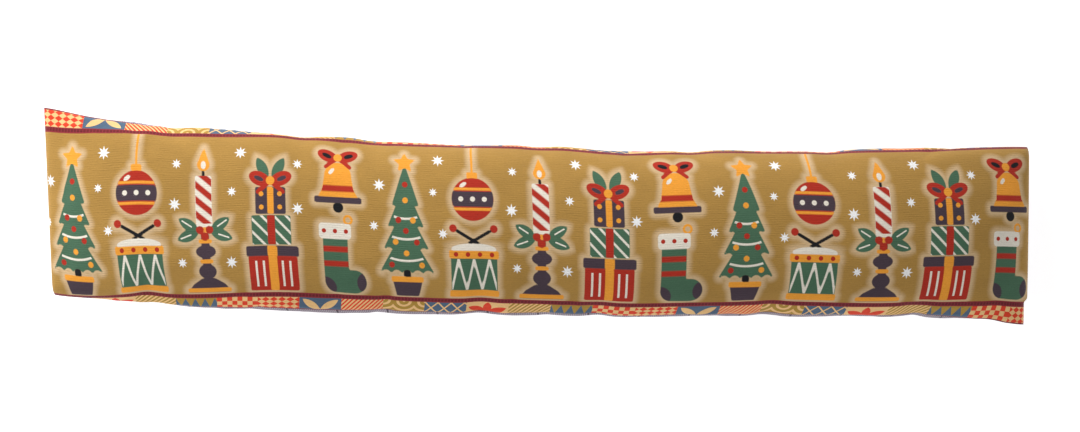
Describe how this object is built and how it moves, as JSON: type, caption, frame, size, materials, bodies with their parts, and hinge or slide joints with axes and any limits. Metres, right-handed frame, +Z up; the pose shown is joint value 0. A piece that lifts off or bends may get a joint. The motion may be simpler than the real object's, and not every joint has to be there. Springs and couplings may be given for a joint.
{
  "type": "draught excluder",
  "caption": "Long filled draught excluder cushion with a printed velvet front, a plain woven back and sewn ends.",
  "frame": {"origin": "middle of the box's underside, on the surface that the cushion rests on", "axes": "+X along the length, +Y across it towards the upper seam, +Z up out of the printed face"},
  "size_m": [0.865, 0.1901, 0.0708],
  "materials": {
    "printed_velvet": "printed velvet, ochre ground with red, green and navy motifs",
    "woven_back_cloth": "plain woven cloth, mauve grey with fine pale pinstripes"
  },
  "bodies": {
    "root": {"filled_cover": "printed_velvet"}
  },
  "joints": []
}
